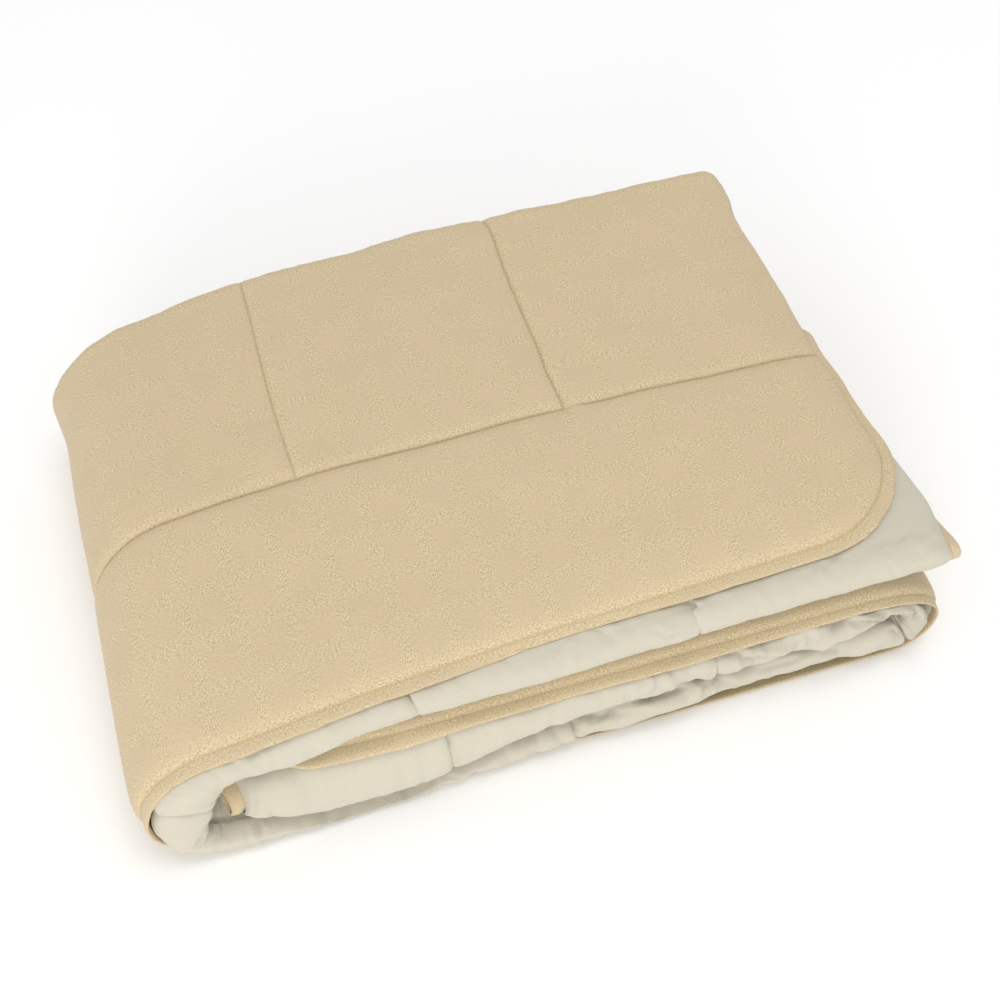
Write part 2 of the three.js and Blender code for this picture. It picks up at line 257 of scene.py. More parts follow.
def curve(table, key, name, at):
    """A smooth line through one column of a table: cubic pieces with slopes that never overshoot."""
    xs, ys = table[key], table[name]
    step = np.diff(ys) / np.diff(xs)
    slope = np.zeros_like(ys)
    same = step[:-1] * step[1:] > 0
    slope[1:-1][same] = 2 * step[:-1][same] * step[1:][same] / (step[:-1] + step[1:])[same]
    k = np.clip(np.searchsorted(xs, at) - 1, 0, len(xs) - 2)
    span = xs[k + 1] - xs[k]
    t = np.clip((at - xs[k]) / span, 0, 1)
    start = (2 * t**3 - 3 * t**2 + 1) * ys[k] + (t**3 - 2 * t**2 + t) * span * slope[k]
    return start + (3 * t**2 - 2 * t**3) * ys[k + 1] + (t**3 - t**2) * span * slope[k + 1]


def edge_distance(u, v):
    """Distance inward from the rounded outline of the flat quilt."""
    qx = np.abs(u - LONG_SIDE / 2) - (LONG_SIDE / 2 - CORNER_R)
    qy = np.abs(v - SHORT_SIDE / 2) - (SHORT_SIDE / 2 - CORNER_R)
    return CORNER_R - np.hypot(np.maximum(qx, 0), np.maximum(qy, 0)) - np.minimum(np.maximum(qx, qy), 0)


def puff(distance, reach):
    """The rise of filled cloth from a seam: a quarter round of the given reach."""
    t = np.clip(distance / reach, 0, 1)
    return np.sqrt(1 - (1 - t) ** 2)


def seam_distances(u, v):
    """Distance to the nearest lengthwise seam and to the nearest cross seam, which stop at the borders."""
    across = np.min(np.abs(v[..., None] - SEAMS_V), -1)
    along = np.min(np.abs(u[..., None] - SEAMS_U), -1)
    outside = np.maximum(np.maximum(BORDER - v, v - (SHORT_SIDE - BORDER)), 0)
    return across, np.hypot(along, outside)


def rough(x, y, seed):
    """Smooth random heights from -1 to 1: random values on a unit lattice, eased between neighbours."""
    size = 256
    values = np.random.default_rng(seed).uniform(-1, 1, (size, size))
    i, j = np.floor(x).astype(int), np.floor(y).astype(int)
    right, up = ease(x - i), ease(y - j)
    i, j, i_next, j_next = i % size, j % size, (i + 1) % size, (j + 1) % size
    low = values[i, j] * (1 - right) + values[i_next, j] * right
    high = values[i, j_next] * (1 - right) + values[i_next, j_next] * right
    return low * (1 - up) + high * up


def puckers(u, v, height, seed):
    """Ripples where the thread draws the cloth in: random along the lengthwise seams, the cross seams and
    the edge seam, none on the line itself, and dying out over 9 or 10 mm beside it."""
    across, along = seam_distances(u, v)
    rim = edge_distance(u, v) - EDGE_SEAM
    lines = [(u / 7, np.round(v / 100), across, 9), (v / 5, np.round(u / 100), along, 10),
             ((u + v) / 8, 3.0, rim, 9)]
    ripples = sum(rough(x, y, seed + k) * np.exp(-beside / reach) * (1 - np.exp(-beside / 1.5))
                  for k, (x, y, beside, reach) in enumerate(lines))
    return height * ripples * puff(rim, 4)


def half_thickness(u, v):
    """Half of the filled thickness: the seam's own, plus a quick rise by each seam and a slow crown, less
    what the thread draws in."""
    across, along = seam_distances(u, v)
    rim = edge_distance(u, v) - EDGE_SEAM
    nearest = np.argmin(np.abs(u[..., None] - SEAMS_U), -1)
    bend = FRONT_STRETCH * (1 - past(np.abs(v - FRONT_MIDDLE), 16, 25))
    flat = np.maximum(bend, 1 - SEAM_DEPTH[nearest])
    unsewn = OPEN_SHARE * np.exp(-((u - SEAMS_U[-1] - OPEN_BESIDE) / OPEN_REACH) ** 2) * (v < FIRST_LEAF)
    by_cross = flat + (1 - flat) * puff(along, QUICK_REACH)
    by_lengthwise = unsewn + (1 - unsewn) * puff(across, QUICK_REACH)
    quick = by_cross * by_lengthwise * puff(rim, QUICK_EDGE_REACH)
    slow = (flat + (1 - flat) * puff(along, SLOW_REACH)) * puff(across, SLOW_REACH) * puff(rim, SLOW_REACH)
    thread = THREAD_DEPTH[nearest] * bend * np.exp(-along / THREAD_REACH)
    return SEAM_T / 2 + (LOFT - SEAM_T) / 2 * (QUICK_SHARE * quick + (1 - QUICK_SHARE) * slow) - thread


def fold(u, v, offset):
    """Fold in thirds: y, and depth from the outer leaf, as straight leaves joined by half circles."""
    edge, back, front = (curve(STATIONS, "u", name, u) for name in ("edge", "back", "front"))
    back_angle = np.clip((v - FIRST_LEAF) / FOLD_R, 0, math.pi)
    front_angle = np.clip((v - FRONT_IN) / FOLD_R, 0, math.pi)
    first = edge + v * (back - edge) / FIRST_LEAF
    second = back - (v - BACK_OUT) * (back - front) / MIDDLE_LEAF
    third = front + (v - FRONT_OUT)
    y = np.select(
        [v <= FIRST_LEAF, v <= BACK_OUT, v <= FRONT_IN, v <= FRONT_OUT],
        [first, back + FOLD_R * np.sin(back_angle), second, front - FOLD_R * np.sin(front_angle)],
        third)
    later = v > FRONT_IN
    out_y = np.where(later, np.sin(front_angle), np.sin(back_angle))
    out_depth = np.where(later, np.cos(front_angle), -np.cos(back_angle))
    depth = MID_DEPTH + FOLD_R * (2 - np.cos(back_angle) - np.cos(front_angle))
    return y + offset * out_y, depth + offset * out_depth


def slide(u, y, depth):
    """Where a place lies along the roll: inner layers slide on at the front, and stay behind at the back."""
    under = 1 - np.exp(-np.maximum(depth - MID_DEPTH, 0) / 5)
    ahead = np.interp(u, SLIDE["u"], SLIDE["by"]) * under * (1 - past(y, 0, 260))
    behind = 0.7 * (depth - MID_DEPTH) * past(y, 110, 90) * past(u, TOP_START, 250)
    return u + ahead - behind


def loose_end(u, v, y):
    """The loose end's shape at a place: its share in the outer leaf, the share by which that leaf is turned
    down at its back, and how far the place lies past the lines from which the outer leaf tips over and the
    inner leaves curl."""
    outer = 1 - past(v, FIRST_LEAF - 10, TURN + 20)
    turned = past(y, 245, 50) * past(u, TOP_START, 200) * outer
    tip = np.maximum(TIP_REACH - (LONG_SIDE - u), 0) * turned * (1 - 0.4 * past(y, 400, 40))
    curl = np.maximum(CURL_REACH - (LONG_SIDE - u), 0) * past(y, 14, 45) * (1 - past(y, 180, 60))
    return outer, turned, tip, (1 - outer) * curl


def hang(v, y, along, rim):
    """What the weight adds to the depth: the thin edge hangs below its layer by a quarter round, and the
    base's inner leaves sag at the front, where the roll is loose."""
    right = np.clip((along - INNER_END) / RIGHT_TURN, 0, 1) * math.pi
    left = np.clip((along - BASE_START) / LEFT_TURN, 0, 1) * math.pi
    down = np.where(along < RIGHT_START, np.cos(right), -np.cos(left))
    fall = (1 - puff(rim, EDGE_REACH)) * np.where(down > 0, EDGE_FALL, BASE_EDGE_FALL) * down
    loose = past(along, RIGHT_START + BASE_LEN * 0.35, 150) * (1 - past(along, BASE_START + 40, 80))
    return fall - np.where(v > FIRST_LEAF, BASE_SAG * loose * (1 - past(y, 5, 45)), 0)


def roll(u, depth):
    """Roll in thirds, seen from the front: inner bundle, right turn, base, left turn, top bundle."""
    right = (u - INNER_END) / RIGHT_TURN * math.pi
    left = (u - BASE_START) / LEFT_TURN * math.pi
    inner = np.interp(u, INNER_PLACES["u"], INNER_PLACES["x"])
    where = [u <= INNER_END, u <= RIGHT_START, u <= BASE_START, u <= TOP_START]
    x = np.select(where, [inner, X_RIGHT + (RIGHT_R - depth) * np.sin(right), X_RIGHT - (u - RIGHT_START),
                          X_LEFT - (LEFT_R - depth) * np.sin(left)], X_LEFT + (u - TOP_START))
    z = np.select(where, [2 * RIGHT_R - depth, RIGHT_R + (RIGHT_R - depth) * np.cos(right), depth,
                          LEFT_R - (LEFT_R - depth) * np.cos(left)], ROLL_H - depth)
    return x, z


def settle(u, x, y, z):
    """Height of the uneven bundle: the inner layers drop at the front of the right turn, all of it is lower
    towards the front and its left corner, the top lifts at the front right, and the middle is crowned."""
    drop = TURN_DROP * past(x, 285, 65) * z / (2 * RIGHT_R) * (1 - past(y, 40, 200))
    z = z - np.where(u < TOP_START, drop, 0)
    along, across = np.clip(1 - ((x - 20) / 330) ** 2, 0, 1), np.clip(1 - ((y - 230) / 240) ** 2, 0, 1)
    crown = CROWN * z / ROLL_H * along * across
    z = z * (1 - FRONT_LOWER * (1 - past(y, -20, 250)))
    z = z * (1 - CORNER_LOWER * past(-x, 100, 150) * (1 - past(y, 0, 150)))
    lift = TOP_LIFT * past(x, 60, 260) * (1 - past(y, -10, 300))
    return z + np.where(u > TOP_START, lift, 0) + crown


def lay(u, v, offset):
    """A place of the flat quilt, raised by offset, as it lies folded and rolled, in metres: each push moves
    it by its shift times the square of one less the squared distance from its centre, in reaches."""
    y, depth = fold(u, v, offset)
    rim = edge_distance(u, v) - EDGE_SEAM
    along = slide(u, y, depth)
    outer, turned, tip, curl = loose_end(u, v, y)
    depth = depth + hang(v, y, along, rim) + TIP_DOWN * tip + CURL_DOWN * curl
    depth = depth + TURNED_DOWN * turned * (1 - puff(rim, EDGE_REACH)) * (1 - 0.7 * past(y, 380, 60))
    x, z = roll(along, depth)
    # The loose end stands out to the right, the outer leaf most at the back and the inner ones in front.
    far = past(u, TOP_START + 200, 300)
    outer_out = 6 - 5 * past(y, 90, 60) + 15 * past(y, 228, 72) + 3 * past(y, 380, 70)
    inner_out = 15 * past(y, 14, 45) * (1 - past(y, 150, 60))
    x = x + far * (outer * outer_out + (1 - outer) * inner_out)
    x = x - TIP_IN * tip - CURL_IN * curl + 0.7 * offset * np.minimum(tip / 12, 1)
    y = y - np.interp(x, BACK_ROUNDING["x"], BACK_ROUNDING["inset"]) * past(y, 120, 340)
    z = settle(u, x, y, z)
    place = np.stack([x - CENTRE[0], y - CENTRE[1], z], -1)
    for push in PUSHES:
        near = np.clip(1 - np.sum(((place - push["centre"]) / push["reach"]) ** 2, -1), 0, 1) ** 2
        place = place + near[..., None] * push["shift"]
    place[..., 2] = np.maximum(place[..., 2] - PRESSED, 0)
    return place / 1000


def marks(pieces, seams, near=(0.0, 0.9, 2.2, 4.2, 7.5), clear=1.3):
    """Grid lines: even steps between the ends of each piece, and near ones on both sides of each seam, in
    place of any even one that doesn't clear them."""
    lines = [np.linspace(a, b, max(int(round((b - a) / step)), 1) + 1) for a, b, step in pieces]
    line = np.unique(np.round(np.concatenate(lines), 3))
    close = np.unique(np.concatenate([[seam + d, seam - d] for seam in seams for d in near]))
    far = np.min(np.abs(line[:, None] - close[None, :]), -1) > clear
    ends = (line == line[0]) | (line == line[-1])
    return np.unique(np.round(np.concatenate([line[far | ends], close]), 3))


def rounded_columns(columns):
    """Grid lines along the quilt, with those of its rounded ends set at even angles of the corner's round."""
    ends = EDGE_SEAM + (CORNER_R - EDGE_SEAM) * (1 - np.cos(np.linspace(0, math.pi / 2, 22)))
    middle = columns[(columns > CORNER_R + 1) & (columns < LONG_SIDE - CORNER_R - 1)]
    return np.unique(np.concatenate([ends, LONG_SIDE - ends, middle]))


def flat_grid(columns, rows):
    """The flat quilt's grid inside its edge seam: border rows are squeezed to follow the rounded corners."""
    radius = CORNER_R - EDGE_SEAM
    near = np.minimum(columns, LONG_SIDE - columns) - EDGE_SEAM
    rise = radius - np.sqrt(np.maximum(radius**2 - np.maximum(radius - near, 0) ** 2, 0))
    start = EDGE_SEAM + rise[:, None]
    v = np.broadcast_to(rows, (len(columns), len(rows)))
    squeeze = (BORDER - start) / (BORDER - EDGE_SEAM)
    low = start + (v - EDGE_SEAM) * squeeze
    high = SHORT_SIDE - (start + (SHORT_SIDE - v - EDGE_SEAM) * squeeze)
    v = np.where(v < BORDER, low, np.where(v > SHORT_SIDE - BORDER, high, v))
    return np.broadcast_to(columns[:, None], v.shape), v


def sewing(u, v):
    """For each place of the flat quilt, the distance to the nearest seam line, up to 20 mm, and the length
    along that line."""
    lengthwise = np.min(np.abs(v[..., None] - SEAMS_V), -1)
    within = (v > BORDER - 1) & (v < SHORT_SIDE - BORDER + 1)
    across = np.where(within, np.min(np.abs(u[..., None] - SEAMS_U), -1), np.inf)
    rim = np.abs(edge_distance(u, v) - EDGE_SEAM)
    nearest = np.minimum(np.minimum(lengthwise, across), rim)
    along = np.where(nearest == lengthwise, u, np.where(nearest == across, v, u + v))
    return np.stack([np.minimum(nearest, 20), along], -1)


def cloth_mesh(name, points, quads, u, v, material):
    """A smooth mesh of four-sided faces between the given points. Its UV map is the flat cloth in metres, and
    its second map holds each place's distance from the sewing and the length along it, in millimetres."""
    corners = quads.reshape(-1)
    mesh = bpy.data.meshes.new(name)
    mesh.vertices.add(u.size)
    mesh.vertices.foreach_set("co", points.reshape(-1).astype(np.float32))
    mesh.loops.add(corners.size)
    mesh.loops.foreach_set("vertex_index", corners.astype(np.int32))
    mesh.polygons.add(len(quads))
    mesh.polygons.foreach_set("loop_start", np.arange(0, corners.size, 4, dtype=np.int32))
    mesh.update(calc_edges=True)
    mesh.polygons.foreach_set("use_smooth", np.ones(len(quads), bool))
    for map_name, values in (("cloth", np.stack([u, v], -1) / 1000), ("sewing", sewing(u, v))):
        layer = mesh.uv_layers.new(name=map_name)
        layer.data.foreach_set("uv", values.reshape(-1, 2)[corners].reshape(-1).astype(np.float32))
    mesh.materials.append(material)
    made = bpy.data.objects.new(name, mesh)
    scene.collection.objects.link(made)
    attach(made, "root")
    return made


def grid_faces(shape, outwards):
    """The four-sided faces between the points of a grid, turned outwards or, for the back cloth, inwards."""
    at = np.arange(shape[0] * shape[1]).reshape(shape)
    quads = np.stack([at[:-1, :-1], at[1:, :-1], at[1:, 1:], at[:-1, 1:]], -1).reshape(-1, 4)
    return quads if outwards else quads[:, ::-1]


def two_tones(ramp, low, low_colour, high, high_colour):
    """Sets a colour ramp to go from one colour at a low value to another at a high one."""
    for stop, value, hex_colour in zip(ramp.color_ramp.elements, (low, high), (low_colour, high_colour)):
        stop.position = value
        stop.color = linear(hex_colour)


# Crinkled cotton: a yarn-dyed weave in soft checks of 36 mm, whose slack threads stand up in slubs and
# pebbles 1 to 3 mm across, so the light breaks up on it; matt, with a little fuzz that brightens edges.
crinkle = bpy.data.materials.new("tan_crinkled_cotton")
crinkle.use_nodes = True
tree = crinkle.node_tree
shader = tree.nodes["Principled BSDF"]
place = add(tree, "ShaderNodeUVMap", uv_map="cloth").outputs["UV"]
directions = add(tree, "ShaderNodeSeparateXYZ", {"Vector": place}).outputs
# A check is a full turn of a sine, so the turns are 2 pi over 36 and over 37 mm, in radians per metre.
bands = []
for direction, turns in (("X", 175.0), ("Y", 168.0)):
    angle = add(tree, "ShaderNodeMath", {0: directions[direction], 1: turns}, operation="MULTIPLY")
    bands.append(add(tree, "ShaderNodeMath", {0: angle.outputs["Value"]}, operation="SINE").outputs["Value"])
# Slubs run along the warp in one band and along the weft in the other.
slubs = []
for squeeze in ((1, 0.4, 1), (0.4, 1, 1)):
    squeezed = add(tree, "ShaderNodeVectorMath", {0: place, 1: squeeze}, operation="MULTIPLY")
    slubs.append(add(tree, "ShaderNodeTexNoise", {"Vector": squeezed.outputs["Vector"], "Scale": 1450.0,
                                                  "Detail": 1.5, "Roughness": 0.5, "Distortion": 0.25}))
lean = add(tree, "ShaderNodeMath", {0: bands[1], 1: bands[0]}, operation="SUBTRACT")
weft_share = add(tree, "ShaderNodeMapRange", {"Value": lean.outputs["Value"], "From Min": -0.8,
                                              "From Max": 0.8})
grain = add(tree, "ShaderNodeMix", {0: weft_share.outputs["Result"], 2: slubs[0].outputs["Fac"],
                                    3: slubs[1].outputs["Fac"]}, data_type="FLOAT").outputs[0]
pebbles = add(tree, "ShaderNodeTexNoise", {"Vector": place, "Scale": 430.0, "Detail": 2.0,
                                           "Roughness": 0.5, "Distortion": 0.8})
patches = add(tree, "ShaderNodeTexNoise", {"Vector": place, "Scale": 26.0, "Detail": 2.0})
tone = add(tree, "ShaderNodeValToRGB", {"Fac": grain})
two_tones(tone, 0.36, "#B19F7C", 0.64, "#E1CFAC")
warm = add(tree, "ShaderNodeValToRGB", {"Fac": patches.outputs["Fac"]})
two_tones(warm, 0.38, "#C7B593", 0.62, "#CDB797")
check = add(tree, "ShaderNodeMath", {0: bands[0], 1: bands[1]}, operation="MAXIMUM")
smooth = add(tree, "ShaderNodeMapRange", {"Value": check.outputs["Value"], "From Min": 0.1, "From Max": 1.0,
                                          "To Min": 0.65, "To Max": 0.13}).outputs["Result"]
cloth_colour = add(tree, "ShaderNodeMix", {0: smooth, 6: tone.outputs["Color"], 7: warm.outputs["Color"]},
                   data_type="RGBA").outputs[2]
# The sewing: thread of the cloth's own colour, a 2.2 mm stitch in every 3 mm, in a line that the puffs on
# both sides keep in shade. That shade is painted into the colour, darkest at the line.
beside, along = add(tree, "ShaderNodeSeparateXYZ", {
    "Vector": add(tree, "ShaderNodeUVMap", uv_map="sewing").outputs["UV"]}).outputs[:2]
# Painted shade: within 1.4 mm of a seam line the cloth colour is darkened towards a brown, by up to 45
# percent.
painted_seam_shade = add(tree, "ShaderNodeMapRange", {"Value": beside, "From Min": 0.3, "From Max": 1.4,
                                         "To Min": 0.45, "To Max": 0.0})
beat = add(tree, "ShaderNodeMath", {0: along, 1: 3.0}, operation="FLOORED_MODULO")
stitch = add(tree, "ShaderNodeMath", {0: beat.outputs["Value"], 1: 2.2}, operation="LESS_THAN")
on_line = add(tree, "ShaderNodeMath", {0: beside, 1: 0.45}, operation="LESS_THAN")
thread = add(tree, "ShaderNodeMath", {0: stitch.outputs["Value"], 1: on_line.outputs["Value"]},
             operation="MULTIPLY")
painted_shade_colour = add(tree, "ShaderNodeMix", {0: painted_seam_shade.outputs["Result"], 6: cloth_colour, 7: linear("#A88F64")},
             data_type="RGBA").outputs[2]
sewn = add(tree, "ShaderNodeMix", {0: thread.outputs["Value"], 6: painted_shade_colour, 7: linear("#C6B491")},
           data_type="RGBA").outputs[2]
low_bump = add(tree, "ShaderNodeBump", {"Height": pebbles.outputs["Fac"], "Strength": 0.35,
                                        "Distance": 0.0012})
raised = add(tree, "ShaderNodeMath", {0: 1.0, 1: smooth}, operation="SUBTRACT")
relief = add(tree, "ShaderNodeMath", {0: grain, 1: raised.outputs["Value"]}, operation="MULTIPLY")
bump = add(tree, "ShaderNodeBump", {"Height": relief.outputs["Value"], "Strength": 0.7, "Distance": 0.0005,
                                    "Normal": low_bump.outputs["Normal"]})
tree.links.new(sewn, shader.inputs["Base Color"])
tree.links.new(bump.outputs["Normal"], shader.inputs["Normal"])
shader.inputs["Roughness"].default_value = 0.92
shader.inputs["Specular IOR Level"].default_value = 0.25
shader.inputs["Sheen Weight"].default_value = 0.12
shader.inputs["Sheen Roughness"].default_value = 0.5

# The face cloth's grid has close lines where the cloth shows or turns, and wide ones inside the roll.
face_columns = marks([(EDGE_SEAM, 110, 7), (110, 1230, 9), (1230, 1890, 3.6), (1890, 1988, 3)], SEAMS_U)
face_rows = marks([(EDGE_SEAM, 60, 3), (60, 424, 3.6), (424, 448, 3), (448, 860, 14), (860, 887.6, 7),
                   (887.6, 911.1, 3), (911.1, 940, 7), (940, 1300, 14), (1300, 1338, 5)], SEAMS_V)
u, v = flat_grid(rounded_columns(face_columns), face_rows)
# The wadding is a little lumpy, more so where it is bent round the back turn.
at_turn = 1 - past(np.abs(v - BACK_MIDDLE), 8, 20)
lumps = 0.9 * rough(u / 45, v / 45, 21) * puff(edge_distance(u, v) - EDGE_SEAM, 30)
lumps = lumps + at_turn * (1.1 * rough(u / 30, v / 60, 22) + 0.7 * np.abs(rough(u / 12, v / 30, 23)))
points = lay(u, v, half_thickness(u, v) + puckers(u, v, 0.56, 5) + lumps)
face_cloth = cloth_mesh("face_cloth", points, grid_faces(u.shape, True), u, v, crinkle)
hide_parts("quilt")

# The back cloth: one 135 x 200 cm piece of cream percale, a close plain weave with a smooth dry hand,
# quilted to the other side of the wadding; it shows at the front folds, where it creases softly.
percale = bpy.data.materials.new("cream_cotton_percale")
percale.use_nodes = True
tree = percale.node_tree
shader = tree.nodes["Principled BSDF"]
place = add(tree, "ShaderNodeUVMap", uv_map="cloth").outputs["UV"]
threads = add(tree, "ShaderNodeTexNoise", {"Vector": place, "Scale": 900.0, "Detail": 2.0})
rumple = add(tree, "ShaderNodeTexNoise", {"Vector": place, "Scale": 38.0, "Detail": 3.0, "Distortion": 0.8})
ridges = add(tree, "ShaderNodeTexNoise", {"Vector": place, "Scale": 55.0, "Detail": 2.0, "Roughness": 0.4,
                                          "Distortion": 0.3}, noise_type="RIDGED_MULTIFRACTAL")
amount = add(tree, "ShaderNodeAttribute", attribute_name="crumple")
crumpled = add(tree, "ShaderNodeMath", {0: ridges.outputs["Fac"], 1: amount.outputs["Fac"]},
               operation="MULTIPLY")
height = add(tree, "ShaderNodeMath", {0: crumpled.outputs["Value"], 1: 0.8, 2: rumple.outputs["Fac"]},
             operation="MULTIPLY_ADD")
rumple_bump = add(tree, "ShaderNodeBump", {"Height": height.outputs["Value"], "Strength": 0.6,
                                           "Distance": 0.003})
bump = add(tree, "ShaderNodeBump", {"Height": threads.outputs["Fac"], "Strength": 0.15, "Distance": 0.0004,
                                    "Normal": rumple_bump.outputs["Normal"]})
tree.links.new(bump.outputs["Normal"], shader.inputs["Normal"])
shader.inputs["Base Color"].default_value = linear("#C6C0AF")
shader.inputs["Roughness"].default_value = 0.85
shader.inputs["Specular IOR Level"].default_value = 0.3
shader.inputs["Sheen Weight"].default_value = 0.1

# The main creases of the front folds, each traced in the 1000-pixel photo: the part of the roll that it is
# seen on, the pixels of its line, and its width and depth in millimetres.
CREASES = [
    {"part": "top", "line": [(246, 763), (254, 749), (268, 746)], "width": 3, "depth": 1.6},
    {"part": "top", "line": [(250, 750), (260, 769)], "width": 3, "depth": 1.6},
    {"part": "top", "line": [(230, 761), (246, 769)], "width": 2.5, "depth": 1.2},
    {"part": "top", "line": [(317, 730), (330, 742)], "width": 4, "depth": 0.8},
    {"part": "top", "line": [(407, 690), (411, 703)], "width": 2, "depth": 1.2},
    {"part": "top", "line": [(560, 640), (566, 668)], "width": 4, "depth": 0.8},
    {"part": "top", "line": [(599, 626), (613, 643)], "width": 3.5, "depth": 1.0},
    {"part": "top", "line": [(654, 629), (668, 639), (697, 633)], "width": 3, "depth": 1.4},
    {"part": "top", "line": [(688, 600), (693, 606)], "width": 2.5, "depth": 1.6},
    {"part": "top", "line": [(915, 547), (916, 561)], "width": 3, "depth": 1.2},
    {"part": "top", "line": [(930, 545), (924, 560)], "width": 3, "depth": 1.2},
    {"part": "turn", "line": [(206, 835), (199, 850)], "width": 2.2, "depth": 1.6},
    {"part": "turn", "line": [(190, 817), (206, 811)], "width": 4, "depth": 1.2},
    {"part": "turn", "line": [(165, 812), (190, 817)], "width": 5, "depth": 0.8},
    {"part": "inner", "line": [(303, 780), (320, 800)], "width": 6, "depth": 0.8},
    {"part": "inner", "line": [(446, 734), (456, 754), (461, 771)], "width": 2.5, "depth": 1.6},
    {"part": "inner", "line": [(489, 729), (494, 743)], "width": 4, "depth": 1.0},
    {"part": "inner", "line": [(600, 689), (604, 704)], "width": 4, "depth": 0.8},
    {"part": "inner", "line": [(640, 679), (640, 690)], "width": 4, "depth": 0.8},
    {"part": "inner", "line": [(671, 663), (673, 677)], "width": 3.5, "depth": 1.0},
    {"part": "inner", "line": [(738, 651), (747, 660), (781, 661), (799, 656)], "width": 3, "depth": 2.2},
    {"part": "inner", "line": [(799, 644), (800, 658)], "width": 2.5, "depth": 1.6},
    {"part": "inner", "line": [(809, 633), (812, 650)], "width": 3, "depth": 1.4},
    {"part": "inner", "line": [(838, 620), (824, 640), (815, 653)], "width": 3.5, "depth": 2.4},
    {"part": "inner", "line": [(843, 619), (851, 640)], "width": 3, "depth": 1.8},
    {"part": "inner", "line": [(849, 622), (869, 624), (888, 627)], "width": 2.5, "depth": 2.8},
    {"part": "base", "line": [(890, 629), (896, 632), (904, 640)], "width": 2.5, "depth": 2.4},
    {"part": "inner", "line": [(897, 625), (916, 624)], "width": 2.5, "depth": 3.2},
    {"part": "inner", "line": [(903, 603), (914, 620)], "width": 3, "depth": 1.4},
    {"part": "inner", "line": [(862, 611), (884, 612)], "width": 3, "depth": 1.0},
    {"part": "base", "line": [(257, 820), (260, 834)], "width": 2.5, "depth": 2.4},
    {"part": "base", "line": [(247, 826), (254, 846)], "width": 3, "depth": 1.8},
    {"part": "base", "line": [(300, 815), (304, 830)], "width": 4, "depth": 1.0},
    {"part": "base", "line": [(385, 796), (391, 812)], "width": 4, "depth": 1.0},
    {"part": "base", "line": [(420, 785), (424, 800)], "width": 4, "depth": 1.4},
    {"part": "base", "line": [(449, 778), (462, 788)], "width": 3, "depth": 1.8},
    {"part": "base", "line": [(505, 745), (508, 762)], "width": 5, "depth": 1.2},
    {"part": "base", "line": [(570, 718), (581, 733)], "width": 2.5, "depth": 1.8},
    {"part": "base", "line": [(587, 714), (621, 705), (661, 693), (688, 687)], "width": 3.5, "depth": 2.0},
    {"part": "base", "line": [(595, 720), (635, 712), (648, 709)], "width": 3, "depth": 1.4},
    {"part": "base", "line": [(611, 706), (618, 720)], "width": 3, "depth": 1.2},
    {"part": "base", "line": [(654, 690), (640, 701)], "width": 3, "depth": 1.2},
    {"part": "base", "line": [(709, 682), (706, 697)], "width": 2.2, "depth": 3.0},
    {"part": "base", "line": [(687, 686), (690, 700)], "width": 3, "depth": 1.6},
    {"part": "base", "line": [(671, 679), (687, 701)], "width": 4, "depth": 1.2},
    {"part": "base", "line": [(722, 681), (735, 688)], "width": 3, "depth": 1.4},
    {"part": "base", "line": [(760, 672), (800, 662)], "width": 4, "depth": 1.4},
    {"part": "base", "line": [(826, 650), (840, 654)], "width": 3, "depth": 1.4},
]
# The stretch of the quilt's length that each part of the roll takes up.
PARTS = {"inner": (0, 640), "base": (640, 1440), "turn": (1200, 1500), "top": (1400, LONG_SIDE)}
PHOTO_SIZE = 1000
# Each crease is made 1.8 times as deep as traced, since soft light hides a shallow one. The centre of its
# raised lip, the lip's reach and its height are in widths and depths of the crease.
CREASE_GAIN = 1.8
LIP_PLACE, LIP_REACH, LIP_HEIGHT = 1.9, 1.1, 0.6
# The facets of the crumpled cloth, large and small, along the fold and across its doubled width.
LARGE_FACET, SMALL_FACET = (27.0, 34.0), (14.0, 22.0)
# Broader swells and hollows of the front folds: centre and reach on the flat cloth, and rise.
SWELLS = [
    {"centre": (210, 904), "reach": (250, 10), "rise": 5},
    {"centre": (60, 905), "reach": (90, 11), "rise": 5},
    {"centre": (600, 905), "reach": (60, 9), "rise": -4},
    {"centre": (1450, 908), "reach": (60, 10), "rise": 7},
    {"centre": (1345, 889), "reach": (100, 12), "rise": 5},
]
# How crumpled the front folds are along the roll, in millimetres.
CRUMPLE = {
    "u": np.array([0, 80, 230, 380, 450, 620, 740, 860, 930, 1100, 1240, 1350, 1440, 1560, 1900, 2000.0]),
    "height": np.array([2, 1.2, 1.2, 3, 5.5, 6, 5.5, 5, 3, 2, 1.5, 1.5, 2, 1.3, 1.3, 2.0]),
}


def crumple_amount(u, v):
    """How high the facets of the crumpled cloth are: the table's height at the front turn, dying out on
    both sides of it."""
    return np.interp(u, CRUMPLE["u"], CRUMPLE["height"]) * (1 - past(np.abs(v - FRONT_MIDDLE), 15, 20))


def swells(u, v):
    """The table's broad hills and hollows: the square of one less the square of the distance, in reaches."""
    total = np.zeros(u.shape)
    for swell in SWELLS:
        (centre_u, centre_v), (reach_u, reach_v) = swell["centre"], swell["reach"]
        squared = ((u - centre_u) / reach_u) ** 2 + ((v - centre_v) / reach_v) ** 2
        total += swell["rise"] * np.clip(1 - squared, 0, 1) ** 2
    return total


